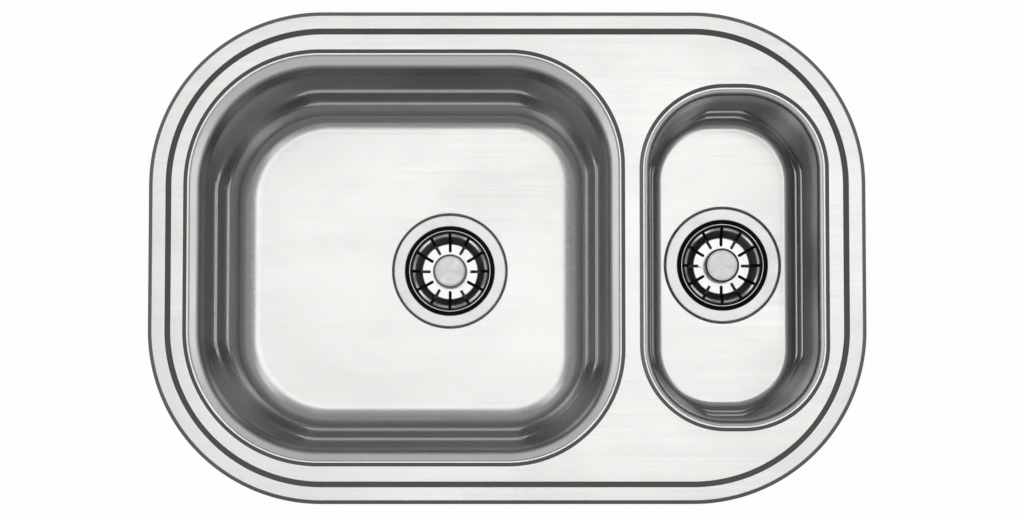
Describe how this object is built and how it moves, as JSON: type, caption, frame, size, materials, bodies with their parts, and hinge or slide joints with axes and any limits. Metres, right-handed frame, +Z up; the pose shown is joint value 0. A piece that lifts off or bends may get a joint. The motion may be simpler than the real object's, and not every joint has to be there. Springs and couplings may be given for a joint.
{
  "type": "one and a half bowl sink",
  "caption": "Inset stainless kitchen sink with a large rounded bowl, a narrow half bowl, lift-out basket strainers with knobs, wastes and swing-out fixing clips.",
  "frame": {"origin": "middle of the sink on the worktop's upper face, where the edge seal rests", "axes": "+X towards the half bowl, +Y towards the back, +Z up"},
  "size_m": [0.67, 0.46, 0.247],
  "materials": {
    "sink_sheet": "satin brushed stainless sheet",
    "strainer_steel": "bright drawn stainless",
    "knob_steel": "turned stainless",
    "fastener_steel": "plain stainless",
    "clip_steel": "zinc plated",
    "black_rubber": "moulded black rubber",
    "seal_foam": "closed-cell foam",
    "damping_pad": "dull bitumen sheet",
    "waste_plastic": "moulded white plastic",
    "insert_brass": "turned brass"
  },
  "bodies": {
    "sink": {"deck_plate": "sink_sheet", "main_bowl": "sink_sheet", "half_bowl": "sink_sheet", "edge_seal": "seal_foam", "main_sound_pad": "damping_pad", "half_sound_pad": "damping_pad", "clip_brackets": "clip_steel", "main_strainer_cup": "strainer_steel", "main_flange_gasket": "black_rubber", "main_body_gasket": "black_rubber", "main_waste_body": "waste_plastic", "main_clamp_insert": "insert_brass", "main_clamp_screw": "fastener_steel", "half_strainer_cup": "strainer_steel", "half_flange_gasket": "black_rubber", "half_body_gasket": "black_rubber", "half_waste_body": "waste_plastic", "half_clamp_insert": "insert_brass", "half_clamp_screw": "fastener_steel"},
    "main_strainer": {"main_basket": "strainer_steel", "main_basket_seal": "black_rubber", "main_knob": "knob_steel", "main_knob_washer": "fastener_steel", "main_knob_nut": "fastener_steel"},
    "half_strainer": {"half_basket": "strainer_steel", "half_basket_seal": "black_rubber", "half_knob": "knob_steel", "half_knob_washer": "fastener_steel", "half_knob_nut": "fastener_steel"},
    "clip_screw_1": {"clip_screw_1": "clip_steel"},
    "clip_claw_1": {"clip_claw_1": "clip_steel"},
    "clip_screw_2": {"clip_screw_2": "clip_steel"},
    "clip_claw_2": {"clip_claw_2": "clip_steel"},
    "clip_screw_3": {"clip_screw_3": "clip_steel"},
    "clip_claw_3": {"clip_claw_3": "clip_steel"},
    "clip_screw_4": {"clip_screw_4": "clip_steel"},
    "clip_claw_4": {"clip_claw_4": "clip_steel"},
    "clip_screw_5": {"clip_screw_5": "clip_steel"},
    "clip_claw_5": {"clip_claw_5": "clip_steel"},
    "clip_screw_6": {"clip_screw_6": "clip_steel"},
    "clip_claw_6": {"clip_claw_6": "clip_steel"},
    "clip_screw_7": {"clip_screw_7": "clip_steel"},
    "clip_claw_7": {"clip_claw_7": "clip_steel"},
    "clip_screw_8": {"clip_screw_8": "clip_steel"},
    "clip_claw_8": {"clip_claw_8": "clip_steel"}
  },
  "joints": [
    {"name": "main_strainer_lift", "type": "slide", "parent": "sink", "child": "main_strainer", "axis": [0, 0, 1], "range_m": [0, 0.22]},
    {"name": "half_strainer_lift", "type": "slide", "parent": "sink", "child": "half_strainer", "axis": [0, 0, 1], "range_m": [0, 0.19]},
    {"name": "clip_1_swing", "type": "hinge", "parent": "sink", "child": "clip_screw_1", "pos_m": [-0.15, 0.204, -0.03], "axis": [0, 0, 1], "range_deg": [0, 90]},
    {"name": "clip_1_climb", "type": "slide", "parent": "clip_screw_1", "child": "clip_claw_1", "axis": [0, 0, 1], "range_m": [0, 0.028]},
    {"name": "clip_2_swing", "type": "hinge", "parent": "sink", "child": "clip_screw_2", "pos_m": [0, 0.204, -0.03], "axis": [0, 0, 1], "range_deg": [0, 90]},
    {"name": "clip_2_climb", "type": "slide", "parent": "clip_screw_2", "child": "clip_claw_2", "axis": [0, 0, 1], "range_m": [0, 0.028]},
    {"name": "clip_3_swing", "type": "hinge", "parent": "sink", "child": "clip_screw_3", "pos_m": [0.15, 0.204, -0.03], "axis": [0, 0, 1], "range_deg": [0, 90]},
    {"name": "clip_3_climb", "type": "slide", "parent": "clip_screw_3", "child": "clip_claw_3", "axis": [0, 0, 1], "range_m": [0, 0.028]},
    {"name": "clip_4_swing", "type": "hinge", "parent": "sink", "child": "clip_screw_4", "pos_m": [-0.30899, 0, -0.03], "axis": [0, 0, 1], "range_deg": [0, 90]},
    {"name": "clip_4_climb", "type": "slide", "parent": "clip_screw_4", "child": "clip_claw_4", "axis": [0, 0, 1], "range_m": [0, 0.028]},
    {"name": "clip_5_swing", "type": "hinge", "parent": "sink", "child": "clip_screw_5", "pos_m": [-0.15, -0.204, -0.03], "axis": [0, 0, 1], "range_deg": [0, 90]},
    {"name": "clip_5_climb", "type": "slide", "parent": "clip_screw_5", "child": "clip_claw_5", "axis": [0, 0, 1], "range_m": [0, 0.028]},
    {"name": "clip_6_swing", "type": "hinge", "parent": "sink", "child": "clip_screw_6", "pos_m": [0, -0.204, -0.03], "axis": [0, 0, 1], "range_deg": [0, 90]},
    {"name": "clip_6_climb", "type": "slide", "parent": "clip_screw_6", "child": "clip_claw_6", "axis": [0, 0, 1], "range_m": [0, 0.028]},
    {"name": "clip_7_swing", "type": "hinge", "parent": "sink", "child": "clip_screw_7", "pos_m": [0.15, -0.204, -0.03], "axis": [0, 0, 1], "range_deg": [0, 90]},
    {"name": "clip_7_climb", "type": "slide", "parent": "clip_screw_7", "child": "clip_claw_7", "axis": [0, 0, 1], "range_m": [0, 0.028]},
    {"name": "clip_8_swing", "type": "hinge", "parent": "sink", "child": "clip_screw_8", "pos_m": [0.30899, 0, -0.03], "axis": [0, 0, 1], "range_deg": [0, 90]},
    {"name": "clip_8_climb", "type": "slide", "parent": "clip_screw_8", "child": "clip_claw_8", "axis": [0, 0, 1], "range_m": [0, 0.028]}
  ]
}
